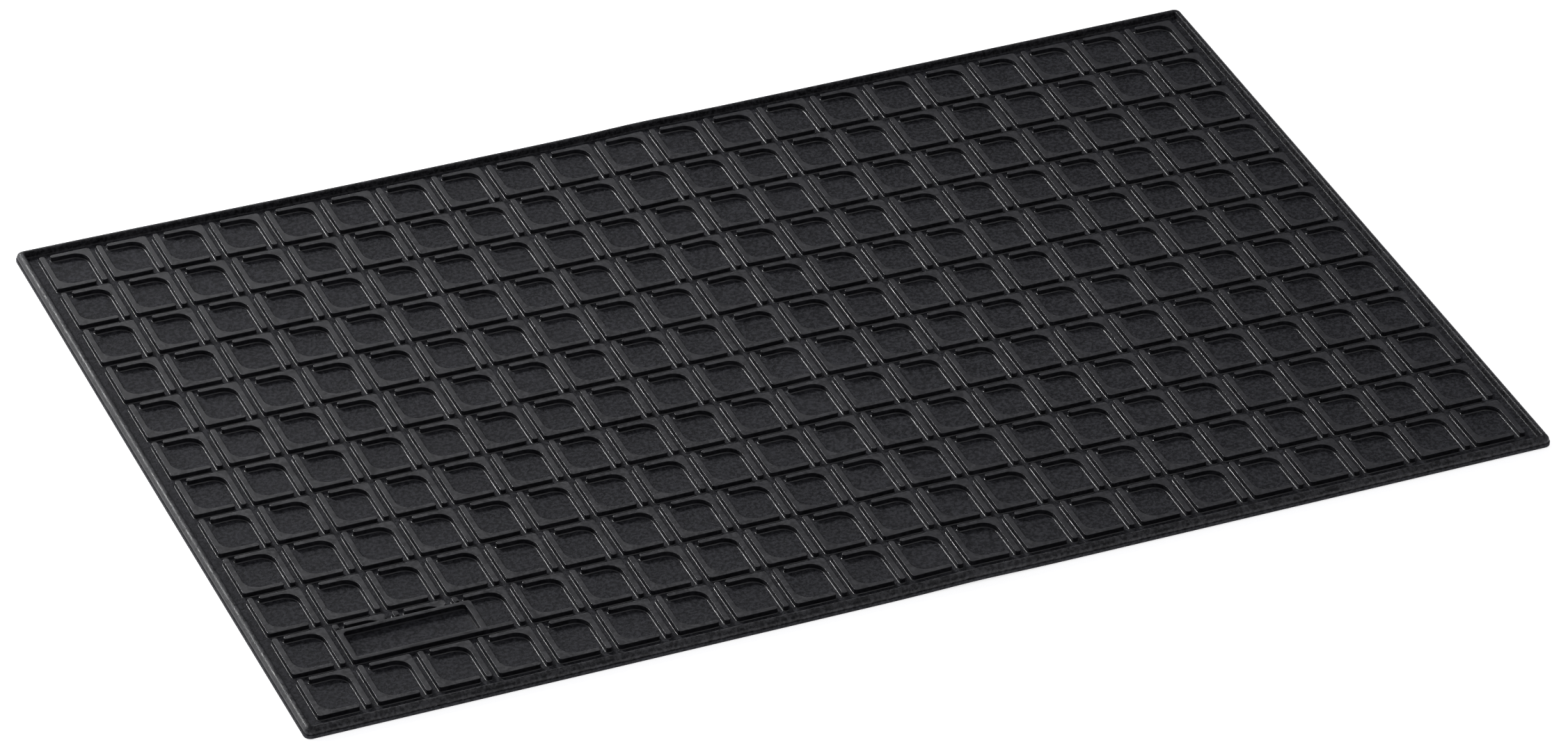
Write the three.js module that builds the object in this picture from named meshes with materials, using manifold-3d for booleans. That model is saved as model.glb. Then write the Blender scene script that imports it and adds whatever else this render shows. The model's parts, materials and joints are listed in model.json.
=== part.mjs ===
// Moulded rubber door mat. The real mat is one moulding. It is divided here into its backing
// sheet, the beads of its rim, its columns of ribs and its plain plate frame, and it folds
// in half along the gap beside one of the columns.
// The mat lies on Z = 0 with its origin under the middle. X runs along its length and Y across it.
import * as THREE from 'three';
import { mergeVertices } from 'three/addons/utils/BufferGeometryUtils.js';
import Module from 'manifold-3d';

const wasm = await Module();
wasm.setup();

// Driving dimensions, in millimetres.
const MAT_LENGTH = 600;
const MAT_WIDTH = 400;
const OUTER_CORNER_RADIUS = 3.5;

const SHEET_THICKNESS = 1.2;
const SKIN_THICKNESS = 0.6; // rubber between the backing sheet and the recess floors
const RIB_HEIGHT = 2.4; // above the recess floors

const RIM_WIDTH = 4; // foot of the inner wall to the outer edge
const RIM_HEIGHT = 4.8; // crest of the bead above the ground
const RIM_CREST = 1.1; // foot of the inner wall to the crest
const RIM_DRAFT = 0.25; // the inner wall leans out by this much
const RIM_INNER_RISE = 1; // rounded height of the bead inside its crest
const RIM_OUTER_RISE = 2; // and outside it
const INNER_CORNER_RADIUS = 0.8;
const FLANGE_HEIGHT = 1.9; // the parting line is here
const FLANGE_STEP = 0.4; // the flange stands out past the bead
const CHANNEL_WIDTH = 5.2; // clear floor between the outermost ribs and the rim

const COLUMNS = 21;
const ROWS = 12;
const GAP_X = 3.4; // clear floor between neighbouring cells
const GAP_Y = 3.9;
const LEG_WIDTH = 2.6; // ribs that run along Y
const CROSS_WIDTH = 2.25; // ribs that run along X
const CELL_OPENING = 5.4; // a cross rib stops this far short of the cell's corner
const RIB_FILLET = 7; // radius inside each L

const FOLD_AFTER_COLUMN = 11;

const PLATE_FIRST_COLUMN = 1; // counted from 0 at the left
const PLATE_LAST_COLUMN = 3;
const PLATE_ROW = 1; // counted from 0 at the near edge
const PLATE_OVERHANG = 7.1; // reach into its last column
const PLATE_SETBACK = 4.7; // from the far edge of its row of cells
const PLATE_RISE = 0.3; // frame above the ribs

const CORNER_STEPS = 4; // flats in a rounded corner, an even number
const FILLET_STEPS = 2; // flats in a rib's fillet
const CROWN_STEPS = 6; // flats over the bead, an even number
const RIB_ROOT = 0.3; // ribs start this far inside the skin before they are joined to it

// Sizes that follow from them.
const FLOOR_Z = SHEET_THICKNESS + SKIN_THICKNESS;
const RIB_TOP_Z = FLOOR_Z + RIB_HEIGHT;
const INNER_HALF_X = MAT_LENGTH / 2 - RIM_WIDTH;
const INNER_HALF_Y = MAT_WIDTH / 2 - RIM_WIDTH;
const FIELD_HALF_X = INNER_HALF_X - CHANNEL_WIDTH;
const FIELD_HALF_Y = INNER_HALF_Y - CHANNEL_WIDTH;
const PITCH_X = (2 * FIELD_HALF_X + GAP_X) / COLUMNS;
const PITCH_Y = (2 * FIELD_HALF_Y + GAP_Y) / ROWS;
const CELL_X = PITCH_X - GAP_X;
const CELL_Y = PITCH_Y - GAP_Y;
const FOLD_X = columnEdge(FOLD_AFTER_COLUMN);

const rubber = new THREE.MeshStandardMaterial({ color: 0x1d1e20, roughness: 0.75, metalness: 0 });
const mat = new THREE.Group();

function addPiece(name, geometry) {
  const piece = new THREE.Mesh(geometry, rubber);
  piece.name = name;
  mat.add(piece);
}

// X of the line between two columns of cells, which is the inner wall at the two ends.
function columnEdge(column) {
  if (column === 0) return -INNER_HALF_X;
  if (column === COLUMNS) return INNER_HALF_X;
  return -FIELD_HALF_X + column * PITCH_X - GAP_X / 2;
}

// Solids and geometry.
function toSolid(geometry) {
  geometry.deleteAttribute('normal');
  geometry.deleteAttribute('uv');
  const merged = mergeVertices(geometry, 1e-5);
  const vertProperties = new Float32Array(merged.attributes.position.array);
  const triVerts = new Uint32Array(merged.index.array);
  return new wasm.Manifold(new wasm.Mesh({ numProp: 3, vertProperties, triVerts }));
}

function toGeometry(solid) {
  const mesh = solid.getMesh();
  const geometry = new THREE.BufferGeometry();
  geometry.setAttribute('position', new THREE.BufferAttribute(mesh.vertProperties, 3));
  geometry.setIndex(new THREE.BufferAttribute(mesh.triVerts, 1));
  return geometry;
}

function prism(outline, bottom, top) {
  const shape = outline instanceof THREE.Shape ? outline : new THREE.Shape(outline);
  const geometry = new THREE.ExtrudeGeometry(shape, { depth: top - bottom, bevelEnabled: false });
  return geometry.translate(0, 0, bottom);
}

function rectangle(left, near, right, far) {
  return [
    new THREE.Vector2(left, near),
    new THREE.Vector2(right, near),
    new THREE.Vector2(right, far),
    new THREE.Vector2(left, far),
  ];
}

// Rounded corners. Offset is the distance outwards from the foot of the rim's inner wall, and the
// radius grows from the inner corner's to the outer corner's across the rim.
function cornerPoint(signX, signY, offset, angle) {
  const growth = (OUTER_CORNER_RADIUS - INNER_CORNER_RADIUS) / RIM_WIDTH;
  const radius = INNER_CORNER_RADIUS + growth * offset;
  return new THREE.Vector2(
    signX * (INNER_HALF_X + offset - radius) + radius * Math.cos(angle),
    signY * (INNER_HALF_Y + offset - radius) + radius * Math.sin(angle),
  );
}

// Angles of a corner's flats. The corners are numbered anticlockwise from the far right one.
function cornerAngles(corner, firstStep, lastStep) {
  const angles = [];
  for (let step = firstStep; step <= lastStep; step += 1) {
    angles.push((corner + step / CORNER_STEPS) * Math.PI / 2);
  }
  return angles;
}

function cornerSigns(corner) {
  return [corner === 0 || corner === 3 ? 1 : -1, corner < 2 ? 1 : -1];
}

function cornerOutline(corner, offset) {
  const [signX, signY] = cornerSigns(corner);
  return cornerAngles(corner, 0, CORNER_STEPS).map((angle) => cornerPoint(signX, signY, offset, angle));
}

// An upright band of the mat from left to right, rounded where it reaches the mat's corners.
function bandOutline(left, right, offset) {
  const near = -INNER_HALF_Y - offset;
  const far = INNER_HALF_Y + offset;
  const atLeft = left === -INNER_HALF_X - offset;
  const atRight = right === INNER_HALF_X + offset;
  return [
    ...(atRight ? cornerOutline(0, offset) : [new THREE.Vector2(right, far)]),
    ...(atLeft ? cornerOutline(1, offset) : [new THREE.Vector2(left, far)]),
    ...(atLeft ? cornerOutline(2, offset) : [new THREE.Vector2(left, near)]),
    ...(atRight ? cornerOutline(3, offset) : [new THREE.Vector2(right, near)]),
  ];
}

// Backing sheet, one half on each side of the fold.
function addSheets() {
  const left = bandOutline(-INNER_HALF_X - RIM_WIDTH, FOLD_X, RIM_WIDTH);
  const right = bandOutline(FOLD_X, INNER_HALF_X + RIM_WIDTH, RIM_WIDTH);
  addPiece('backing_sheet_left', prism(left, 0, SHEET_THICKNESS));
  addPiece('backing_sheet_right', prism(right, 0, SHEET_THICKNESS));
}

// Rim bead: its section is a list of offsets and heights, and it runs through stations that turn
// an offset into a place on the mat.
function rimSection() {
  const section = [
    [0, SHEET_THICKNESS],
    [RIM_WIDTH, SHEET_THICKNESS],
    [RIM_WIDTH, FLANGE_HEIGHT],
    [RIM_WIDTH - FLANGE_STEP, FLANGE_HEIGHT],
  ];
  for (let step = 0; step <= CROWN_STEPS; step += 1) {
    const angle = step * Math.PI / CROWN_STEPS;
    const outside = step < CROWN_STEPS / 2;
    const reach = outside ? RIM_WIDTH - FLANGE_STEP - RIM_CREST : RIM_CREST - RIM_DRAFT;
    const rise = outside ? RIM_OUTER_RISE : RIM_INNER_RISE;
    const height = RIM_HEIGHT - rise * (1 - Math.sin(angle));
    section.push([RIM_CREST + reach * Math.cos(angle), height]);
  }
  section.push([0, FLOOR_Z]);
  return section;
}

function cornerStations(corner, firstStep, lastStep) {
  const [signX, signY] = cornerSigns(corner);
  return cornerAngles(corner, firstStep, lastStep).map(
    (angle) => (offset) => cornerPoint(signX, signY, offset, angle),
  );
}

function foldStation(signY) {
  return (offset) => new THREE.Vector2(FOLD_X, signY * (INNER_HALF_Y + offset));
}

function rimGeometry(stations) {
  const section = rimSection();
  const count = section.length;
  const positions = [];
  for (const station of stations) {
    for (const [offset, height] of section) {
      const place = station(offset);
      positions.push(place.x, place.y, height);
    }
  }
  const faces = [];
  for (let row = 0; row < stations.length - 1; row += 1) {
    for (let column = 0; column < count; column += 1) {
      const next = (column + 1) % count;
      const a = row * count + column;
      const b = row * count + next;
      faces.push(a, b + count, b, a, a + count, b + count);
    }
  }
  const outline = section.map(([offset, height]) => new THREE.Vector2(offset, height));
  const end = (stations.length - 1) * count;
  for (const [a, b, c] of THREE.ShapeUtils.triangulateShape(outline, [])) {
    faces.push(a, b, c, end + a, end + c, end + b);
  }
  const geometry = new THREE.BufferGeometry();
  geometry.setAttribute('position', new THREE.Float32BufferAttribute(positions, 3));
  geometry.setIndex(faces);
  return geometry;
}

function addRim() {
  const half = CORNER_STEPS / 2;
  const rim = {
    rim_right: [...cornerStations(3, half, CORNER_STEPS), ...cornerStations(0, 0, half)],
    rim_rear_right: [...cornerStations(0, half, CORNER_STEPS), foldStation(1)],
    rim_rear_left: [foldStation(1), ...cornerStations(1, 0, half)],
    rim_left: [...cornerStations(1, half, CORNER_STEPS), ...cornerStations(2, 0, half)],
    rim_front_left: [...cornerStations(2, half, CORNER_STEPS), foldStation(-1)],
    rim_front_right: [foldStation(-1), ...cornerStations(3, 0, half)],
  };
  for (const [name, stations] of Object.entries(rim)) {
    addPiece(name, rimGeometry(stations));
  }
}

// Ribs: two Ls in each cell, the second one a half turn of the first about the cell's middle.
function ribOutline(centreX, centreY, turn) {
  const right = CELL_X / 2;
  const far = CELL_Y / 2;
  const inside = right - LEG_WIDTH;
  const under = far - CROSS_WIDTH;
  const openEnd = CELL_OPENING - right;
  const fillet = Math.min(RIB_FILLET, inside - openEnd, under + far);
  const corners = [[right, far], [openEnd, far], [openEnd, under]];
  for (let step = 0; step <= FILLET_STEPS; step += 1) {
    const angle = (1 - step / FILLET_STEPS) * Math.PI / 2;
    corners.push([inside - fillet * (1 - Math.cos(angle)), under - fillet * (1 - Math.sin(angle))]);
  }
  corners.push([inside, -far], [right, -far]);
  return corners.map(([x, y]) => new THREE.Vector2(centreX + turn * x, centreY + turn * y));
}

function cellCentre(column, row) {
  return [
    -FIELD_HALF_X + column * PITCH_X + CELL_X / 2,
    -FIELD_HALF_Y + row * PITCH_Y + CELL_Y / 2,
  ];
}

// The plate's outer edges: it starts with its first cell and lines up with that row's near edge.
function plateOutline(inset) {
  const [firstX, rowY] = cellCentre(PLATE_FIRST_COLUMN, PLATE_ROW);
  const [lastX] = cellCentre(PLATE_LAST_COLUMN, PLATE_ROW);
  return rectangle(
    firstX - CELL_X / 2 + inset * LEG_WIDTH,
    rowY - CELL_Y / 2 + inset * CROSS_WIDTH,
    lastX - CELL_X / 2 + PLATE_OVERHANG - inset * LEG_WIDTH,
    rowY + CELL_Y / 2 - PLATE_SETBACK - inset * CROSS_WIDTH,
  );
}

function treadColumn(column) {
  const skin = bandOutline(columnEdge(column), columnEdge(column + 1), 0);
  let solid = toSolid(prism(skin, SHEET_THICKNESS, FLOOR_Z));
  for (let row = 0; row < ROWS; row += 1) {
    const [x, y] = cellCentre(column, row);
    for (const turn of [1, -1]) {
      const rib = prism(ribOutline(x, y, turn), FLOOR_Z - RIB_ROOT, RIB_TOP_Z);
      solid = solid.add(toSolid(rib));
    }
  }
  if (column >= PLATE_FIRST_COLUMN && column <= PLATE_LAST_COLUMN) {
    const clearance = prism(plateOutline(0), FLOOR_Z, RIB_TOP_Z + RIB_HEIGHT);
    solid = solid.subtract(toSolid(clearance));
  }
  return toGeometry(solid);
}

function addTread() {
  for (let column = 0; column < COLUMNS; column += 1) {
    addPiece(`tread_column_${String(column + 1).padStart(2, '0')}`, treadColumn(column));
  }
}

// Plain raised frame around a blank panel.
function addPlateFrame() {
  const shape = new THREE.Shape(plateOutline(0));
  shape.holes.push(new THREE.Path(plateOutline(1)));
  addPiece('plate_frame', prism(shape, FLOOR_Z, RIB_TOP_Z + PLATE_RISE));
}

addSheets();
addRim();
addTread();
addPlateFrame();

export default mat;
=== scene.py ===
"""Moulded rubber door mat with a raised rim, L-shaped ribs and a plain plate, built on its CAD frame.

Everything is in metres and in the mat's own frame: X runs along its length, Y across it from the
near edge to the far one, and Z up from the ground.
"""
import json
import math

import bmesh
import bpy
import numpy as np
from mathutils import Matrix, Vector

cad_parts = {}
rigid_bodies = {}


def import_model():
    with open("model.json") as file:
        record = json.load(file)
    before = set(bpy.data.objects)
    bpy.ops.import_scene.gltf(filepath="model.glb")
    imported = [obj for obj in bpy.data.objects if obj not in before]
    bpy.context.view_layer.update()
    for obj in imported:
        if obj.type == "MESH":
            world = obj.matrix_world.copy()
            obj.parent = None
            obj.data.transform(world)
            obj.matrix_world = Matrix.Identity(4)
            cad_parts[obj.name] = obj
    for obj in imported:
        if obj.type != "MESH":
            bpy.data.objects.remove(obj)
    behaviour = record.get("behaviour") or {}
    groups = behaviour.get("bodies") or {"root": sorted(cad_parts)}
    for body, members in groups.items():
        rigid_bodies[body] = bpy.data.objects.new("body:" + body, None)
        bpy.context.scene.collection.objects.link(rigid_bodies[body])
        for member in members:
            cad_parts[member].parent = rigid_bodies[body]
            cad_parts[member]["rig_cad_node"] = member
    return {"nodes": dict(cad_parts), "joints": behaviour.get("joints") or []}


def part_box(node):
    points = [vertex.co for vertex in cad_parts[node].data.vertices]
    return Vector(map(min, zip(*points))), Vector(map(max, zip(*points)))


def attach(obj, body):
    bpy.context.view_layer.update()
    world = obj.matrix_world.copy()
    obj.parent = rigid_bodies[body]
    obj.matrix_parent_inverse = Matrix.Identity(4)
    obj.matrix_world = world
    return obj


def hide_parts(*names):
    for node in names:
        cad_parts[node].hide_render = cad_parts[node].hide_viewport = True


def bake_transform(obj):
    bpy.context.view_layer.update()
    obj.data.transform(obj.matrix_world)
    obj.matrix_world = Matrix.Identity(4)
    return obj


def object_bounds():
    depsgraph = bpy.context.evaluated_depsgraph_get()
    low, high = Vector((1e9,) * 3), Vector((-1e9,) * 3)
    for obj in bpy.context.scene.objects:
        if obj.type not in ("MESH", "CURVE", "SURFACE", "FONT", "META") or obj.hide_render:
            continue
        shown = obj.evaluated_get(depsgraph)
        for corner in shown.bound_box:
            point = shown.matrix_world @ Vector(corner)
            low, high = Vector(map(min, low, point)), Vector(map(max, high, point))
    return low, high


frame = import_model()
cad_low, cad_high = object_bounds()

bl_info = {
    "name": "Moulded Rubber Door Mat",
    "version": (1, 0, 0),
    "blender": (4, 5, 0),
    "location": "View3D > Sidebar > Door Mat",
    "description": "Builds a ribbed rubber door mat on its CAD frame, with its rubber and a studio",
    "category": "Add Mesh",
}

# What the CAD frame fixes.
COLUMN_NODES = sorted(name for name in frame["nodes"] if name.startswith("tread_column_"))
RIM_NODES = sorted(name for name in frame["nodes"] if name.startswith("rim_"))
SHEET_NODES = sorted(name for name in frame["nodes"] if name.startswith("backing_sheet_"))
LEFT_BODY = frame["joints"][0]["parent"]
RIGHT_BODY = frame["joints"][0]["child"]
FOLD_X = frame["joints"][0]["pos_m"][0]

FIRST_LOW, FIRST_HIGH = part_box(COLUMN_NODES[0])
SECOND_LOW, SECOND_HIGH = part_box(COLUMN_NODES[1])
PLATE_LOW, PLATE_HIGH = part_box("plate_frame")
MAT_HALF_X = cad_high.x
MAT_HALF_Y = cad_high.y
INNER_HALF_X = -FIRST_LOW.x  # foot of the rim's inner wall
INNER_HALF_Y = -FIRST_LOW.y
FLOOR_Z = PLATE_LOW.z  # floors of the recesses
RIB_TOP_Z = FIRST_HIGH.z
RIM_TOP_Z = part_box("rim_left")[1].z
PITCH_X = SECOND_HIGH.x - SECOND_LOW.x
FIRST_CENTRE_X = FIRST_HIGH.x - PITCH_X / 2

QUARTER = math.pi / 2
ROOT = 0.0003  # ribs, rim and plate reach this far down into the backing
HOLD = 0.0001  # from the end of a rounding to the ring that keeps the face beside it flat
TOP_BORDER = 0.00015  # flat top between the rounding of its edge and the ring that closes it
HIDDEN_CORNER = 0.0001  # radius of the corners that stand inside the plate
CUT_REACH = 0.8  # a cross rib starts this share of a leg's width inside the plate
PANEL_MARGIN = 0.0009  # the floor steps down to the panel this far under the plate's bars
INNER_WALL_LEAN = 0.1  # share of the draft at the foot of the rim's inner wall
ROUND_OFF = 1e-9

# Facets in a quarter turn.
EDGE_STEPS = 2  # round a top edge
FOOT_STEPS = 3  # up a foot fillet
RIB_CORNER_STEPS = 4  # round a rib's corners and tips
FILLET_STEPS = 8  # inside an L
CUT_FILLET_STEPS = 6  # inside an L that the plate cuts short
PLATE_CORNER_STEPS = 5
MAT_CORNER_STEPS = 8
INNER_CROWN_STEPS = 7  # from the rim's inner wall to its crest
OUTER_CROWN_STEPS = 9  # and from there to its outer wall
FLANGE_EDGE_STEPS = 3


def length(name, millimetres, description):
    """A length that the sidebar shows, given in millimetres and kept in metres."""
    return bpy.props.FloatProperty(
        name=name, description=description, default=millimetres / 1000,
        min=0, precision=5, unit="LENGTH",
    )


def share(name, value, description):
    return bpy.props.FloatProperty(
        name=name, description=description, default=value, min=0, max=1, subtype="FACTOR",
    )


def tone(name, value, description):
    return bpy.props.FloatVectorProperty(
        name=name, description=description, default=value, size=3, min=0, max=1, subtype="COLOR",
    )


def power(name, value, description):
    return bpy.props.FloatProperty(
        name=name, description=description, default=value, min=0, unit="POWER",
    )


def turn(name, degrees, description):
    return bpy.props.FloatProperty(
        name=name, description=description, default=math.radians(degrees), unit="ROTATION",
    )


class MatShape(bpy.types.PropertyGroup):
    """How the mat lies: nearly flat, with a trace of the fold it was packed with."""

    corner_lift: length("Corner lift", 1.5, "Height of the raised far left corner")
    corner_reach: length("Corner reach", 125, "How far the raised corner reaches into the mat")
    crease_height: length("Crease height", 0.6, "Height of the ridge left along the fold")
    crease_reach: length("Crease reach", 24, "Half width of that ridge")
    slack_height: length("Slack height", 0.25, "How much higher the right half rests")
    backing_edge: length("Backing edge", 0.25, "Rounding of the backing's edges")
    outer_corner: length("Outer corner", 3.5, "Radius of the mat's corners")
    fold_reach: length("Fold reach", 8, "Rubber that bends on each side of the fold")
    step: length("Mesh step", 7, "Longest stretch of mesh on the backing and the rim")
    fold_step: length("Fold mesh step", 0.8, "Longest stretch where the rubber bends")


class RibShape(bpy.types.PropertyGroup):
    """The two L-shaped ribs that stand round each recess."""

    rows: bpy.props.IntProperty(name="Rows", description="Recesses across the mat", default=12, min=1)
    gap_x: length("Gap along X", 3.4, "Clear floor between neighbouring columns")
    gap_y: length("Gap along Y", 3.9, "Clear floor between neighbouring rows")
    leg: length("Leg width", 2.6, "Width of the ribs that run along Y")
    cross: length("Cross rib width", 2.25, "Width of the ribs that run along X")
    opening: length("Opening", 5.4, "Gap between a cross rib's free end and the side of its cell")
    slant: length("End slant", 0.5, "How much a cross rib's free end leans")
    fillet: length("Inner fillet", 7, "Radius inside each L")
    corner: length("Outer corner", 1.3, "Radius of each L's outer corner")
    tip: length("Tip radius", 1.0, "Radius of the free ends")
    edge: length("Top edge", 0.09, "Rounding of the top edges")
    foot: length("Foot fillet", 0.38, "Rounding where a rib meets the floor")
    draft: length("Draft", 0.12, "How much a rib widens towards its foot on each side")
    step: length("Mesh step", 9, "Longest stretch of mesh along a rib")
    fold_step: length("Fold mesh step", 2, "The same beside the fold")


class RimShape(bpy.types.PropertyGroup):
    """The bead that runs round the mat."""

    crest: length("Crest", 1.1, "Distance from the foot of the inner wall to the crest")
    draft: length("Draft", 0.25, "How much the inner wall leans out")
    inner_rise: length("Inner rise", 1.0, "Rounded height inside the crest")
    outer_rise: length("Outer rise", 2.1, "Rounded height outside it")
    flange: length("Flange", 0.4, "How far the backing stands out past the bead")
    foot: length("Foot fillet", 0.5, "Rounding where the inner wall meets the floor")
    inner_corner: length("Inner corner", 0.8, "Radius at the corners, at the foot of the inner wall")


class PlateShape(bpy.types.PropertyGroup):
    """The plain raised frame and its blank panel."""

    left_bar: length("Left bar", 2.6, "Width of the left bar")
    right_bar: length("Right bar", 3.0, "Width of the right bar")
    near_bar: length("Near bar", 2.25, "Width of the near bar")
    far_bar: length("Far bar", 2.1, "Width of the far bar")
    outer_corner: length("Outer corner", 1.2, "Radius of the frame's outer corners")
    far_corner: length("Far inner corner", 2.0, "Radius of the panel's far corners")
    near_corner: length("Near inner corner", 0.8, "Radius of the panel's near corners")
    crown: length("Crown", 0.12, "How much the bars are domed")
    sink: length("Panel depth", 0.3, "How far the panel lies below the recess floors")


class RubberLook(bpy.types.PropertyGroup):
    """Matt black rubber with a fine grain."""

    base: tone("Rubber", (0.003, 0.003, 0.0044), "Colour of the rubber")
    bloom: tone("Bloom", (0.0172, 0.0172, 0.0220), "Colour of the paler, dusty patches")
    floor_base: tone("Floor rubber", (0.010, 0.0102, 0.0122), "Colour of the recess floors")
    floor_bloom: tone("Floor bloom", (0.050, 0.0505, 0.0575), "Colour of their paler, dusty grains")
    rim_base: tone("Rim rubber", (0.008, 0.008, 0.0092), "Colour of the rim")
    rim_bloom: tone("Rim bloom", (0.060, 0.060, 0.065), "Colour of its paler, dusty grains")
    speck: tone("Specks", (0.10, 0.10, 0.10), "Colour of the dust specks")
    floor_roughness: share("Floor roughness", 0.66, "Roughness of the recess floors")
    rib_roughness: share("Rib roughness", 0.41, "Roughness of the ribs")
    rim_roughness: share("Rim roughness", 0.42, "Roughness of the rim")
    plate_roughness: share("Plate roughness", 0.44, "Roughness of the plate frame")
    floor_gloss: share("Floor gloss", 0.12, "Strength of the reflections on the recess floors")
    rib_gloss: share("Rib gloss", 0.80, "Strength of the reflections on the ribs")
    rim_gloss: share("Rim gloss", 0.18, "Strength of the reflections on the rim")
    plate_gloss: share("Plate gloss", 0.66, "Strength of the reflections on the plate frame")
    grit_size: length("Grit size", 1.8, "Size of the coarser grains")
    grit: share("Grit", 0.7, "How much of the paler rubber is in fine grains")
    grain_size: length("Grain size", 0.45, "Size of the grain")
    grit_roughness: share("Grit roughness", 0.08, "How much the grains change the roughness")
    floor_grain: length("Floor grain", 0.14, "Depth of the grain on the recess floors")
    rib_grain: length("Rib grain", 0.02, "Depth of the grain on the ribs, the rim and the plate")


class MatStudio(bpy.types.PropertyGroup):
    """Pale floor, soft lights and the camera."""

    floor_tone: tone("Floor", (0.93, 0.93, 0.93), "Colour of the floor")
    floor_size: length("Floor size", 14000, "Side of the square floor")
    sky: tone("Sky", (0.225, 0.225, 0.240), "Light from all round")
    floor_glow: share("Floor glow", 0.8, "Light that the floor gives off, so that it reads white")
    key_power: power("Key light", 2.5, "Small soft box behind the mat on the left")
    key_spread: turn("Key spread", 32, "How widely the grid on that box lets its light out")
    key_target: bpy.props.FloatVectorProperty(
        name="Key target", description="Point that the key light faces",
        default=(-0.2, 0.0, 0.0), size=3, precision=3, unit="LENGTH",
    )
    top_power: power("Top light", 6.5, "Soft box over the mat")
    left_power: power("Left light", 26, "Low soft box behind the mat on the left")
    back_power: power("Back light", 14, "Low wide soft box behind the mat")
    right_power: power("Right light", 2, "Low soft box on the right")
    azimuth: turn("Azimuth", -23.282, "Direction of view, from straight along Y")
    elevation: turn("Elevation", 34.306, "Height of the camera above the mat")
    roll: turn("Roll", 0.965, "Turn of the camera about its own axis")
    distance: length("Distance", 3615.27, "From the camera to its aim")
    aim: bpy.props.FloatVectorProperty(
        name="Aim", description="Point on the ground that the camera faces",
        default=(-0.00134, -0.01757, 0), size=3, precision=5, unit="LENGTH",
    )
    lens: bpy.props.FloatProperty(
        name="Lens", description="Focal length", default=181.04, min=1, unit="CAMERA",
    )


# Lie of the rubber ------------------------------------------------------------------------------

def lift(points, shape):
    """Raises flat mesh points by the height at which the rubber lies there."""
    x = points[:, 0]
    y = points[:, 1]
    from_corner = np.hypot(x + MAT_HALF_X, y - MAT_HALF_Y) / shape.corner_reach
    from_fold = (x - FOLD_X) / shape.crease_reach
    corner = shape.corner_lift * np.exp(-from_corner ** 2)
    crease = shape.crease_height * np.exp(-from_fold ** 2)
    slack = shape.slack_height * (1 + np.tanh(from_fold)) / 2
    raised = points.copy()
    raised[:, 2] += corner + crease + slack
    return raised


# Outlines ---------------------------------------------------------------------------------------

def steps_between(start, end, longest):
    return max(1, math.ceil((end - start) / longest - ROUND_OFF))


def stations(marks, longest, fold_step, fold_reach):
    """Places through all the marks, close together where the rubber bends."""
    marks = sorted([*marks, FOLD_X - fold_reach, FOLD_X + fold_reach])
    places = [marks[0]]
    for start, end in zip(marks, marks[1:]):
        bends = abs((start + end) / 2 - FOLD_X) < fold_reach
        count = steps_between(start, end, fold_step if bends else longest)
        places.extend(np.linspace(start, end, count + 1)[1:])
    return np.array(places)


def even_stations(marks, longest):
    places = [marks[0]]
    for start, end in zip(marks, marks[1:]):
        places.extend(np.linspace(start, end, steps_between(start, end, longest) + 1)[1:])
    return np.array(places)


def rounded_outline(corners, longest):
    """Points and outward directions round an anticlockwise outline.

    Each corner is (x, y, radius, facets). Insetting the outline moves each point against its
    direction, so a bulging corner tightens and a hollow one opens.
    """
    places = [Vector(corner[:2]) for corner in corners]
    count = len(places)
    arcs = []
    for index, (_x, _y, radius, facets) in enumerate(corners):
        into = (places[index] - places[index - 1]).normalized()
        out = (places[(index + 1) % count] - places[index]).normalized()
        angle = math.atan2(into.x * out.y - into.y * out.x, into.dot(out))
        start = places[index] - into * radius * math.tan(abs(angle) / 2)
        side = math.copysign(radius, angle)
        outward = Vector((into.y, -into.x))
        centre = start - outward * side
        arc = []
        for step in range(facets + 1):
            direction = outward.copy()
            direction.rotate(Matrix.Rotation(angle * step / facets, 2))
            arc.append((centre + direction * side, direction))
        arcs.append(arc)
    points = []
    for index, arc in enumerate(arcs):
        points.extend(arc)
        start, direction = arc[-1]
        end = arcs[(index + 1) % count][0][0]
        pieces = steps_between(0, (end - start).length, longest)
        for step in range(1, pieces):
            points.append((start.lerp(end, step / pieces), direction))
    return np.array([place for place, _ in points]), np.array([way for _, way in points])


def turned(outline, centre_x, centre_y, sign):
    """An outline moved to a cell, and turned half round where sign is -1."""
    points, outward = outline
    return points * sign + np.array([centre_x, centre_y]), outward * sign


# Meshes -----------------------------------------------------------------------------------------

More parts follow.
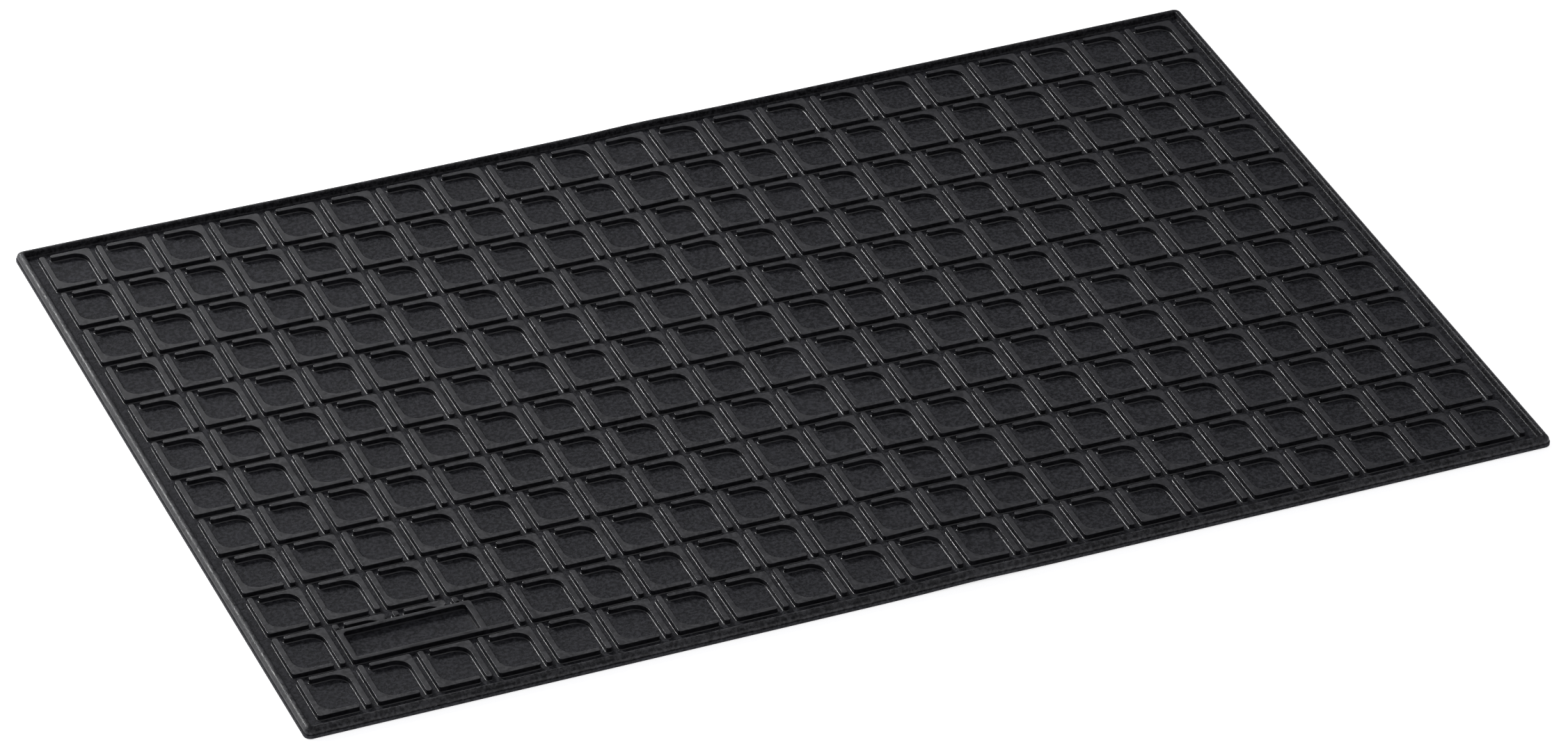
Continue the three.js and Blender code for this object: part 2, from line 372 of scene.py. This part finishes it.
class Shell:
    """Points and faces of a piece while it is being made."""

    def __init__(self):
        self.rings = []
        self.size = 0
        self.faces = []

    def add(self, flat, height):
        """Adds points at a height and returns their numbers."""
        heights = np.full((len(flat), 1), height) if np.isscalar(height) else height.reshape(-1, 1)
        self.rings.append(np.hstack([flat, heights]))
        self.size += len(flat)
        return list(range(self.size - len(flat), self.size))

    def bridge(self, one, other):
        """Joins two closed rings of points, where corners may share a point."""
        for index in range(len(one)):
            after = (index + 1) % len(one)
            face = dict.fromkeys((one[index], one[after], other[after], other[index]))
            if len(face) > 2:
                self.faces.append(tuple(face))

    def loft(self, outline, levels):
        """Adds a closed solid whose rings are the outline inset by each level's first value."""
        points, outward = outline
        rings = [self.add(points - outward * inset, height) for inset, height in levels]
        for one, other in zip(rings, rings[1:]):
            self.bridge(one, other)
        self.faces.append(tuple(reversed(rings[0])))
        self.faces.append(tuple(rings[-1]))

    def loop(self, rings):
        """Adds a closed tube through rings that end where they began."""
        for index, ring in enumerate(rings):
            self.bridge(ring, rings[(index + 1) % len(rings)])

    def piece(self, name, shape, material):
        """Makes the object, with its points raised to where the rubber lies."""
        mesh = bpy.data.meshes.new(name)
        mesh.from_pydata(lift(np.vstack(self.rings), shape).tolist(), [], self.faces)
        solid = bmesh.new()
        solid.from_mesh(mesh)
        wide = [face for face in solid.faces if len(face.verts) > 4]
        bmesh.ops.triangulate(solid, faces=wide, ngon_method="BEAUTY")
        bmesh.ops.recalc_face_normals(solid, faces=solid.faces[:])
        for face in solid.faces:
            face.smooth = True
        solid.to_mesh(mesh)
        solid.free()
        mesh.materials.append(material)
        made = bpy.data.objects.new(name, mesh)
        bpy.context.scene.collection.objects.link(made)
        return made


def foot_levels(radius):
    """Levels up a foot fillet, from inside the backing to the foot of the wall."""
    levels = [(-radius, FLOOR_Z - ROOT)]
    for step in range(FOOT_STEPS + 1):
        angle = QUARTER * step / FOOT_STEPS
        levels.append((-radius * (1 - math.sin(angle)), FLOOR_Z + radius * (1 - math.cos(angle))))
    return levels


def edge_levels(radius, top):
    """Levels round a top edge, from the wall to just inside the flat top."""
    levels = []
    for step in range(EDGE_STEPS + 1):
        angle = QUARTER * step / EDGE_STEPS
        levels.append((radius * (1 - math.cos(angle)), top - radius * (1 - math.sin(angle))))
    return [*levels, (radius + TOP_BORDER, top)]


def wall_levels(foot, edge, top):
    """Levels up a whole wall, with a ring close to each end so that the wall itself shades flat."""
    return [
        *foot_levels(foot),
        (0, FLOOR_Z + foot + HOLD),
        (0, top - edge - HOLD),
        *edge_levels(edge, top),
    ]


def with_draft(levels, draft):
    """Widens levels towards the floor."""
    rise = RIB_TOP_Z - FLOOR_Z
    return [(inset - draft * min(1, (RIB_TOP_Z - z) / rise), z) for inset, z in levels]


# Pieces -----------------------------------------------------------------------------------------

def cell_size(ribs):
    """Length and width of a cell, without the gaps round it."""
    cell_x = PITCH_X - ribs.gap_x
    channel = INNER_HALF_X + FIRST_CENTRE_X - cell_x / 2
    pitch_y = (2 * (INNER_HALF_Y - channel) + ribs.gap_y) / ribs.rows
    return cell_x, pitch_y - ribs.gap_y


def cell_centre(ribs, column, row):
    _, cell_y = cell_size(ribs)
    pitch_y = cell_y + ribs.gap_y
    return FIRST_CENTRE_X + column * PITCH_X, (row - (ribs.rows - 1) / 2) * pitch_y


def rib_outline(ribs, longest):
    """The L at the far right of a cell, about the cell's middle."""
    cell_x, cell_y = cell_size(ribs)
    right = cell_x / 2
    far = cell_y / 2
    end = ribs.opening - right
    return rounded_outline([
        (right, far, ribs.corner, RIB_CORNER_STEPS),
        (end - ribs.slant / 2, far, ribs.tip, RIB_CORNER_STEPS),
        (end + ribs.slant / 2, far - ribs.cross, ribs.tip, RIB_CORNER_STEPS),
        (right - ribs.leg, far - ribs.cross, ribs.fillet, FILLET_STEPS),
        (right - ribs.leg, -far, ribs.tip, RIB_CORNER_STEPS),
        (right, -far, ribs.tip, RIB_CORNER_STEPS),
    ], longest)


def stub_outline(ribs, centre, longest):
    """What shows of a cell's left leg beyond the plate."""
    cell_x, cell_y = cell_size(ribs)
    left = centre[0] - cell_x / 2
    far = centre[1] + cell_y / 2
    near = PLATE_HIGH.y - ribs.cross / 2
    return rounded_outline([
        (left + ribs.leg, far, ribs.tip, RIB_CORNER_STEPS),
        (left, far, ribs.tip, RIB_CORNER_STEPS),
        (left, near, HIDDEN_CORNER, 1),
        (left + ribs.leg, near, HIDDEN_CORNER, 1),
    ], longest)


def cut_rib_outline(ribs, centre, longest):
    """The far right L where the plate cuts its leg short inside its fillet."""
    cell_x, cell_y = cell_size(ribs)
    right = centre[0] + cell_x / 2
    far = centre[1] + cell_y / 2
    end = centre[0] - cell_x / 2 + ribs.opening
    near = PLATE_HIGH.y - ribs.cross / 2
    inside = right - ribs.leg
    return rounded_outline([
        (right, far, ribs.corner, RIB_CORNER_STEPS),
        (end - ribs.slant / 2, far, ribs.tip, RIB_CORNER_STEPS),
        (end + ribs.slant / 2, far - ribs.cross, ribs.tip, RIB_CORNER_STEPS),
        (inside - ribs.fillet / 2, far - ribs.cross, ribs.fillet, CUT_FILLET_STEPS),
        (inside - ribs.fillet / 7, near, HIDDEN_CORNER, 1),
        (right, near, HIDDEN_CORNER, 1),
    ], longest)


def cut_cross_outline(ribs, centre, longest):
    """The near cross rib where it runs on from the plate's right bar to its free end."""
    cell_x, cell_y = cell_size(ribs)
    near = centre[1] - cell_y / 2
    start = PLATE_HIGH.x - ribs.leg * CUT_REACH
    end = centre[0] + cell_x / 2 - ribs.opening
    return rounded_outline([
        (end - ribs.slant / 2, near + ribs.cross, ribs.tip, RIB_CORNER_STEPS),
        (start, near + ribs.cross, ribs.tip, RIB_CORNER_STEPS),
        (start, near, ribs.tip, RIB_CORNER_STEPS),
        (end + ribs.slant / 2, near, ribs.tip, RIB_CORNER_STEPS),
    ], longest)


def cell_outlines(ribs, rib, column, row, longest):
    """Outlines of the ribs of one cell, cut back where the plate stands."""
    centre = cell_centre(ribs, column, row)
    cell_x, cell_y = cell_size(ribs)
    left = centre[0] - cell_x / 2
    near = centre[1] - cell_y / 2
    on_plate = near < (PLATE_LOW.y + PLATE_HIGH.y) / 2 < near + cell_y
    if not on_plate or not PLATE_LOW.x - ribs.gap_x / 2 < left < PLATE_HIGH.x:
        return [turned(rib, *centre, 1), turned(rib, *centre, -1)]
    stub = stub_outline(ribs, centre, longest)
    if left + cell_x < PLATE_HIGH.x:
        return [stub, cut_rib_outline(ribs, centre, longest)]
    return [stub, turned(rib, *centre, 1), cut_cross_outline(ribs, centre, longest)]


def make_column(ribs, shape, column, material):
    """All the ribs of one column."""
    left = SECOND_LOW.x + (column - 1) * PITCH_X
    beside_fold = left - shape.fold_reach < FOLD_X < left + PITCH_X + shape.fold_reach
    longest = ribs.fold_step if beside_fold else ribs.step
    rib = rib_outline(ribs, longest)
    levels = with_draft(wall_levels(ribs.foot, ribs.edge, RIB_TOP_Z), ribs.draft)
    shell = Shell()
    for row in range(ribs.rows):
        for outline in cell_outlines(ribs, rib, column, row, longest):
            shell.loft(outline, levels)
    piece = shell.piece(f"rib_column_{column + 1:02d}", shape, material)
    return piece, beside_fold


def rim_section(rim):
    """Offsets outwards from the foot of the inner wall, and heights, round the bead."""
    outside = MAT_HALF_X - INNER_HALF_X - rim.flange
    wall_top = RIM_TOP_Z - rim.inner_rise
    section = [
        *foot_levels(rim.foot),
        (rim.draft * INNER_WALL_LEAN, FLOOR_Z + rim.foot + HOLD),
        (rim.draft, wall_top - HOLD),
    ]
    for step in range(INNER_CROWN_STEPS + 1):
        angle = QUARTER * step / INNER_CROWN_STEPS
        reach = rim.crest - rim.draft
        section.append((
            rim.crest - reach * math.cos(angle),
            RIM_TOP_Z - rim.inner_rise * (1 - math.sin(angle)),
        ))
    for step in range(1, OUTER_CROWN_STEPS + 1):
        angle = QUARTER * step / OUTER_CROWN_STEPS
        section.append((
            rim.crest + (outside - rim.crest) * math.sin(angle),
            RIM_TOP_Z - rim.outer_rise * (1 - math.cos(angle)),
        ))
    section.append((outside, FLOOR_Z - ROOT))
    return section


def rim_ring(rim, shape, offset, places_x, places_y):
    """The line that runs round the mat at an offset from the foot of the inner wall."""
    growth = (shape.outer_corner - rim.inner_corner) / (MAT_HALF_X - INNER_HALF_X)
    radius = rim.inner_corner + growth * offset
    half_x = INNER_HALF_X + offset
    half_y = INNER_HALF_Y + offset
    sides = [
        [(half_x, y) for y in places_y],
        [(x, half_y) for x in reversed(places_x)],
        [(-half_x, y) for y in reversed(places_y)],
        [(x, -half_y) for x in places_x],
    ]
    signs = [(1, 1), (-1, 1), (-1, -1), (1, -1)]
    ring = []
    for quarter, (side, (sign_x, sign_y)) in enumerate(zip(sides, signs)):
        ring.extend(side)
        for step in range(MAT_CORNER_STEPS + 1):
            angle = QUARTER * (quarter + step / MAT_CORNER_STEPS)
            ring.append((
                sign_x * (half_x - radius) + radius * math.cos(angle),
                sign_y * (half_y - radius) + radius * math.sin(angle),
            ))
    return np.array(ring)


def make_rim(rim, shape, material):
    """The bead in one closed loop round the mat."""
    clear_x = INNER_HALF_X - shape.outer_corner
    clear_y = INNER_HALF_Y - shape.outer_corner
    places_x = stations([-clear_x, clear_x], shape.step, shape.fold_step, shape.fold_reach)
    places_y = even_stations([-clear_y, clear_y], shape.step)
    shell = Shell()
    shell.loop([
        shell.add(rim_ring(rim, shape, offset, places_x, places_y), height)
        for offset, height in rim_section(rim)
    ])
    return shell.piece("mat_rim", shape, material)


def plate_outlines(plate, longest):
    """The frame's outer outline and, with as many points, its inner one."""
    def corners(left, near, right, far, far_radius, near_radius):
        return [
            (right, far, far_radius, PLATE_CORNER_STEPS),
            (left, far, far_radius, PLATE_CORNER_STEPS),
            (left, near, near_radius, PLATE_CORNER_STEPS),
            (right, near, near_radius, PLATE_CORNER_STEPS),
        ]
    outer = corners(
        PLATE_LOW.x, PLATE_LOW.y, PLATE_HIGH.x, PLATE_HIGH.y, plate.outer_corner, plate.outer_corner,
    )
    inner = corners(
        PLATE_LOW.x + plate.left_bar, PLATE_LOW.y + plate.near_bar,
        PLATE_HIGH.x - plate.right_bar, PLATE_HIGH.y - plate.far_bar,
        plate.far_corner, plate.near_corner,
    )
    return rounded_outline(outer, longest), rounded_outline(inner, longest)


def make_plate(plate, ribs, shape, material):
    """The raised frame, lofted up its outer wall, over its domed top and down its inner wall."""
    (outer, out), (inner, into) = plate_outlines(plate, 1)
    levels = wall_levels(ribs.foot, ribs.edge, PLATE_HIGH.z - plate.crown)
    shell = Shell()
    rings = [shell.add(outer - out * inset, height) for inset, height in levels]
    rings.append(shell.add((outer + inner) / 2, PLATE_HIGH.z))
    deeper = [(inset, z - plate.sink if z <= FLOOR_Z else z) for inset, z in levels]
    rings.extend(shell.add(inner + into * inset, height) for inset, height in reversed(deeper))
    shell.loop(rings)
    return shell.piece("plate_surround", shape, material)


def panel_marks(low, high):
    """Where the floor's step down to the panel starts and ends, on both sides of the panel."""
    step_end = PANEL_MARGIN / 2
    return [low - PANEL_MARGIN, low - step_end, high + step_end, high + PANEL_MARGIN]


def between_marks(places, marks):
    """Which places lie inside the outermost marks and not on them."""
    clear = PANEL_MARGIN / 4
    return (places > marks[0] + clear) & (places < marks[-1] - clear)


def make_backing(shape, plate, material):
    """The floor of the recesses and the flange, over a plain flat underside."""
    half_x = MAT_HALF_X - shape.outer_corner
    half_y = MAT_HALF_Y - shape.outer_corner
    panel_x = [PLATE_LOW.x + plate.left_bar, PLATE_HIGH.x - plate.right_bar]
    panel_y = [PLATE_LOW.y + plate.near_bar, PLATE_HIGH.y - plate.far_bar]
    marks_x = panel_marks(*panel_x)
    marks_y = panel_marks(*panel_y)
    xs = stations([-half_x, *marks_x, half_x], shape.step, shape.fold_step, shape.fold_reach)
    ys = even_stations([-half_y, *marks_y, half_y], shape.step)
    grid = np.array([(x, y) for x in xs for y in ys])
    inside_x = between_marks(grid[:, 0], marks_x)
    inside_y = between_marks(grid[:, 1], marks_y)
    shell = Shell()
    top = np.array(shell.add(grid, np.where(inside_x & inside_y, FLOOR_Z - plate.sink, FLOOR_Z)))
    bottom = np.array(shell.add(grid, 0.0))
    top, bottom = (numbers.reshape(len(xs), len(ys)) for numbers in (top, bottom))
    for layer in (top, bottom):
        for i in range(len(xs) - 1):
            for j in range(len(ys) - 1):
                face = layer[i, j], layer[i + 1, j], layer[i + 1, j + 1], layer[i, j + 1]
                shell.faces.append(tuple(int(number) for number in face))
    close_backing(shell, shape, xs, ys, top, bottom)
    return shell.piece("mat_backing", shape, material)


def close_backing(shell, shape, xs, ys, top, bottom):
    """Runs the rounded edge of the flange from the top layer's border to the bottom layer's."""
    last_x = len(xs) - 1
    last_y = len(ys) - 1
    sides = [
        [(last_x, j) for j in range(last_y + 1)],
        [(i, last_y) for i in range(last_x, -1, -1)],
        [(0, j) for j in range(last_y, -1, -1)],
        [(i, 0) for i in range(last_x + 1)],
    ]
    border = []
    for quarter, side in enumerate(sides):
        border.extend((place, quarter * QUARTER) for place in side)
        for step in range(1, MAT_CORNER_STEPS):
            border.append((side[-1], (quarter + step / MAT_CORNER_STEPS) * QUARTER))
    flat = np.array([(xs[i], ys[j]) for (i, j), _ in border])
    outward = np.array([(math.cos(angle), math.sin(angle)) for _, angle in border])
    edge = shape.backing_edge
    radius = shape.outer_corner
    levels = []
    for step in range(FLANGE_EDGE_STEPS + 1):
        angle = QUARTER * step / FLANGE_EDGE_STEPS
        levels.append((radius - edge * (1 - math.sin(angle)), FLOOR_Z - edge * (1 - math.cos(angle))))
    levels.extend([(reach, FLOOR_Z - height) for reach, height in reversed(levels)])
    rings = [[int(top[place]) for place, _ in border]]
    rings.extend(shell.add(flat + outward * reach, height) for reach, height in levels)
    rings.append([int(bottom[place]) for place, _ in border])
    for one, other in zip(rings, rings[1:]):
        shell.bridge(one, other)


# Rubber -----------------------------------------------------------------------------------------

class Nodes:
    """Adds shader nodes to a material and joins them."""

    def __init__(self, name):
        self.material = bpy.data.materials.new(name)
        self.material.use_nodes = True
        self.tree = self.material.node_tree
        self.tree.nodes.clear()

    def feed(self, socket, value):
        """Links a value that is a socket, and sets one that isn't."""
        if isinstance(value, bpy.types.NodeSocket):
            self.tree.links.new(value, socket)
        else:
            socket.default_value = value

    def add(self, kind, settings=None, **inputs):
        node = self.tree.nodes.new(kind)
        for key, value in (settings or {}).items():
            setattr(node, key, value)
        for key, value in inputs.items():
            self.feed(node.inputs[key.replace("_", " ")], value)
        return node

    def math(self, operation, first, second):
        node = self.tree.nodes.new("ShaderNodeMath")
        node.operation = operation
        for socket, value in zip(node.inputs, (first, second)):
            self.feed(socket, value)
        return node.outputs[0]

    def spread(self, value, low, high, to_low, to_high):
        """Maps a range of values onto another."""
        node = self.add(
            "ShaderNodeMapRange", {"interpolation_type": "SMOOTHSTEP"},
            Value=value, From_Min=low, From_Max=high, To_Min=to_low, To_Max=to_high,
        )
        return node.outputs[0]

    def blend(self, factor, first, second):
        """Mixes two colours."""
        node = self.tree.nodes.new("ShaderNodeMix")
        node.data_type = "RGBA"
        sockets = [s for s in node.inputs if s.type == "RGBA"]
        for socket, value in zip([node.inputs[0], *sockets], (factor, first, second)):
            self.feed(socket, value)
        return next(s for s in node.outputs if s.type == "RGBA")


BLOOM_SIZE = 0.11
MOTTLE_SIZE = 0.009
SPECK_SPACING = 0.0016
SPECK_STRENGTH = 0.35
GRIT_HEIGHT = 2  # times the height of the fine grain
MOTTLE_HEIGHT = 3


def opaque(colour):
    return (*colour, 1)


def rubber(name, look, base, bloomed, roughness, gloss, grain_depth):
    """Moulded rubber: slow bloom, mottling, grit, dust specks and a fine pressed grain."""
    nodes = Nodes(name)
    place = nodes.add("ShaderNodeTexCoord").outputs["Object"]

    def noise(size, detail, rough=0.5):
        node = nodes.add("ShaderNodeTexNoise", Vector=place, Scale=1 / size, Detail=detail, Roughness=rough)
        return node.outputs["Fac"]

    bloom = noise(BLOOM_SIZE, 3)
    mottle = noise(MOTTLE_SIZE, 4, 0.6)
    grit = noise(look.grit_size, 3, 0.7)
    grain = noise(look.grain_size * 2, 3, 0.65)
    cells = nodes.add("ShaderNodeTexVoronoi", Vector=place, Scale=1 / SPECK_SPACING)
    near_centre = nodes.spread(cells.outputs["Distance"], 0.10, 0.22, 1, 0)
    chosen = nodes.spread(cells.outputs["Color"], 0.80, 0.86, 0, 1)
    speck = nodes.math("MULTIPLY", near_centre, chosen)

    patchy = nodes.math(
        "MULTIPLY", nodes.spread(bloom, 0.35, 0.7, 0.35, 1), nodes.spread(mottle, 0.3, 0.72, 0, 1),
    )
    gritty = nodes.math("MULTIPLY", nodes.spread(grit, 0.40, 0.62, 0, 1), look.grit)
    paler = nodes.math("ADD", nodes.math("MULTIPLY", patchy, 1 - look.grit), gritty)
    colour = nodes.blend(paler, opaque(base), opaque(bloomed))
    dusted = nodes.blend(nodes.math("MULTIPLY", speck, SPECK_STRENGTH), colour, opaque(look.speck))
    worn = nodes.math("ADD", nodes.spread(mottle, 0.3, 0.7, -0.05, 0.07), roughness)
    dull = nodes.math("ADD", nodes.spread(grit, 0.36, 0.64, -look.grit_roughness, look.grit_roughness), worn)
    rough_height = nodes.math("ADD", grain, nodes.math("MULTIPLY", grit, GRIT_HEIGHT))
    height = nodes.math("ADD", rough_height, nodes.math("MULTIPLY", mottle, MOTTLE_HEIGHT))
    bump = nodes.add("ShaderNodeBump", Height=height, Distance=grain_depth, Strength=0.8)
    shader = nodes.add(
        "ShaderNodeBsdfPrincipled", Base_Color=dusted, Roughness=dull, Normal=bump.outputs["Normal"],
        IOR=1.5, Specular_IOR_Level=gloss,
    )
    nodes.add("ShaderNodeOutputMaterial", Surface=shader.outputs["BSDF"])
    return nodes.material


# Studio -----------------------------------------------------------------------------------------

# Soft boxes: place, width and height.
KEY_BOX = ((-1.2, 2.43, 1.75), 0.6, 0.6)
TOP_BOX = ((0.8, -0.6, 2.8), 1.4, 1.4)
LEFT_BOX = ((-2.3, 2.0, 0.75), 2.6, 1.1)
BACK_BOX = ((-0.3, 3.1, 1.0), 2.0, 1.0)
RIGHT_BOX = ((3.0, 0.4, 1.0), 1.4, 1.0)

FLOOR_DROP = 0.0002  # keeps the studio floor clear of the underside
FLOOR_SHADE = 0.985  # tone of its slightly darker clouds


def facing(place, target):
    return (Vector(target) - Vector(place)).to_track_quat("-Z", "Y")


def view_direction(studio):
    """From the aim to the camera."""
    level = math.cos(studio.elevation)
    return Vector((
        math.sin(studio.azimuth) * level,
        -math.cos(studio.azimuth) * level,
        math.sin(studio.elevation),
    ))


def make_camera(studio):
    data = bpy.data.cameras.new("camera")
    data.sensor_width = 36
    data.lens = studio.lens
    data.clip_end = 100
    camera = bpy.data.objects.new("camera", data)
    aim = Vector(studio.aim)
    camera.location = aim + view_direction(studio) * studio.distance
    camera.rotation_mode = "QUATERNION"
    roll = Matrix.Rotation(studio.roll, 3, "Z").to_quaternion()
    camera.rotation_quaternion = facing(camera.location, aim) @ roll
    bpy.context.scene.collection.objects.link(camera)
    bpy.context.scene.camera = camera


def make_soft_box(name, place, width, height, watts, target=(0, 0, 0), spread=math.pi):
    data = bpy.data.lights.new(name, "AREA")
    data.shape = "RECTANGLE"
    data.size = width
    data.size_y = height
    data.energy = watts
    data.spread = spread
    box = bpy.data.objects.new(name, data)
    box.location = place
    box.rotation_mode = "QUATERNION"
    box.rotation_quaternion = facing(place, target)
    bpy.context.scene.collection.objects.link(box)


def make_floor(studio):
    nodes = Nodes("studio floor")
    place = nodes.add("ShaderNodeTexCoord").outputs["Object"]
    cloud = nodes.add("ShaderNodeTexNoise", Vector=place, Scale=0.8, Detail=2).outputs["Fac"]
    shade = tuple(FLOOR_SHADE * value for value in studio.floor_tone)
    colour = nodes.blend(cloud, opaque(studio.floor_tone), opaque(shade))
    shader = nodes.add(
        "ShaderNodeBsdfPrincipled", Base_Color=colour, Roughness=0.9,
        Emission_Color=opaque(studio.floor_tone), Emission_Strength=studio.floor_glow,
    )
    nodes.add("ShaderNodeOutputMaterial", Surface=shader.outputs["BSDF"])
    half = studio.floor_size / 2
    mesh = bpy.data.meshes.new("studio_floor")
    corners = [(-half, -half, 0), (half, -half, 0), (half, half, 0), (-half, half, 0)]
    mesh.from_pydata(corners, [], [(0, 1, 2, 3)])
    mesh.materials.append(nodes.material)
    floor = bpy.data.objects.new("studio_floor", mesh)
    floor.location.z = -FLOOR_DROP
    bpy.context.scene.collection.objects.link(floor)


def make_sky(studio):
    world = bpy.data.worlds.new("studio sky")
    world.use_nodes = True
    world.node_tree.nodes["Background"].inputs["Color"].default_value = opaque(studio.sky)
    bpy.context.scene.world = world


# Operators --------------------------------------------------------------------------------------

class MAT_OT_studio(bpy.types.Operator):
    """Add the camera, the floor and the soft lights"""

    bl_idname = "door_mat.studio"
    bl_label = "Studio"

    def execute(self, context):
        studio = context.scene.mat_studio
        make_camera(studio)
        make_floor(studio)
        make_sky(studio)
        make_soft_box("key box", *KEY_BOX, studio.key_power, studio.key_target, studio.key_spread)
        make_soft_box("top box", *TOP_BOX, studio.top_power)
        make_soft_box("left box", *LEFT_BOX, studio.left_power)
        make_soft_box("back box", *BACK_BOX, studio.back_power)
        make_soft_box("right box", *RIGHT_BOX, studio.right_power)
        context.scene.view_settings.view_transform = "Standard"
        return {"FINISHED"}


class MAT_OT_rim(bpy.types.Operator):
    """Add the bead that runs round the mat"""

    bl_idname = "door_mat.rim"
    bl_label = "Rim"

    def execute(self, context):
        scene = context.scene
        look = scene.mat_rubber
        material = rubber(
            "rim rubber", look, look.rim_base, look.rim_bloom,
            look.rim_roughness, look.rim_gloss, look.rib_grain,
        )
        piece = make_rim(scene.mat_rim, scene.mat_shape, material)
        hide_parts(*RIM_NODES)
        bend_at_fold(piece)
        return {"FINISHED"}


class MAT_OT_ribs(bpy.types.Operator):
    """Add the columns of L-shaped ribs"""

    bl_idname = "door_mat.ribs"
    bl_label = "Ribs"

    def execute(self, context):
        scene = context.scene
        look = scene.mat_rubber
        material = rubber(
            "rib rubber", look, look.base, look.bloom,
            look.rib_roughness, look.rib_gloss, look.rib_grain,
        )
        for column, node in enumerate(COLUMN_NODES):
            piece, beside_fold = make_column(scene.mat_ribs, scene.mat_shape, column, material)
            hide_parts(node)
            if beside_fold:
                bend_at_fold(piece)
            else:
                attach(piece, LEFT_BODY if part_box(node)[1].x < FOLD_X else RIGHT_BODY)
        return {"FINISHED"}


class MAT_OT_plate(bpy.types.Operator):
    """Add the plain raised frame of the plate"""

    bl_idname = "door_mat.plate"
    bl_label = "Plate"

    def execute(self, context):
        scene = context.scene
        look = scene.mat_rubber
        material = rubber(
            "plate rubber", look, look.base, look.bloom,
            look.plate_roughness, look.plate_gloss, look.rib_grain,
        )
        piece = make_plate(scene.mat_plate, scene.mat_ribs, scene.mat_shape, material)
        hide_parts("plate_frame")
        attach(piece, LEFT_BODY)
        return {"FINISHED"}


class MAT_OT_backing(bpy.types.Operator):
    bl_idname = "door_mat.backing"
    bl_label = "Backing"

    def execute(self, context):
        scene = context.scene
        look = scene.mat_rubber
        material = rubber(
            "floor rubber", look, look.floor_base, look.floor_bloom,
            look.floor_roughness, look.floor_gloss, look.floor_grain,
        )
        piece = make_backing(scene.mat_shape, scene.mat_plate, material)
        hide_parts(*SHEET_NODES)
        bend_at_fold(piece)
        return {"FINISHED"}


def bend_at_fold(piece):
    """Bakes a piece's placement into its mesh; the piece stays whole and joins neither half at the fold."""
    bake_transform(piece)


GROUPS = {
    "mat_shape": MatShape,
    "mat_ribs": RibShape,
    "mat_rim": RimShape,
    "mat_plate": PlateShape,
    "mat_rubber": RubberLook,
    "mat_studio": MatStudio,
}
OPERATORS = (MAT_OT_studio, MAT_OT_rim, MAT_OT_ribs, MAT_OT_plate, MAT_OT_backing)


class MAT_PT_sidebar(bpy.types.Panel):
    """Lists the mat's sizes and finishes, and the operators that make its pieces"""

    bl_label = "Door Mat"
    bl_idname = "MAT_PT_sidebar"
    bl_space_type = "VIEW_3D"
    bl_region_type = "UI"
    bl_category = "Door Mat"

    def draw(self, context):
        for operator in OPERATORS:
            self.layout.operator(operator.bl_idname)
        for key in GROUPS:
            group = getattr(context.scene, key)
            box = self.layout.box()
            box.label(text=group.bl_rna.name)
            for name in group.__annotations__:
                box.prop(group, name)


def register():
    for group in GROUPS.values():
        bpy.utils.register_class(group)
    for key, group in GROUPS.items():
        setattr(bpy.types.Scene, key, bpy.props.PointerProperty(type=group))
    for operator in OPERATORS:
        bpy.utils.register_class(operator)
    bpy.utils.register_class(MAT_PT_sidebar)


def unregister():
    bpy.utils.unregister_class(MAT_PT_sidebar)
    for operator in reversed(OPERATORS):
        bpy.utils.unregister_class(operator)
    for key in GROUPS:
        delattr(bpy.types.Scene, key)
    for group in reversed(GROUPS.values()):
        bpy.utils.unregister_class(group)


def main():
    register()
    bpy.ops.door_mat.studio()
    bpy.ops.door_mat.rim()
    bpy.ops.door_mat.ribs()
    bpy.ops.door_mat.plate()
    bpy.ops.door_mat.backing()


if __name__ == "__main__":
    main()
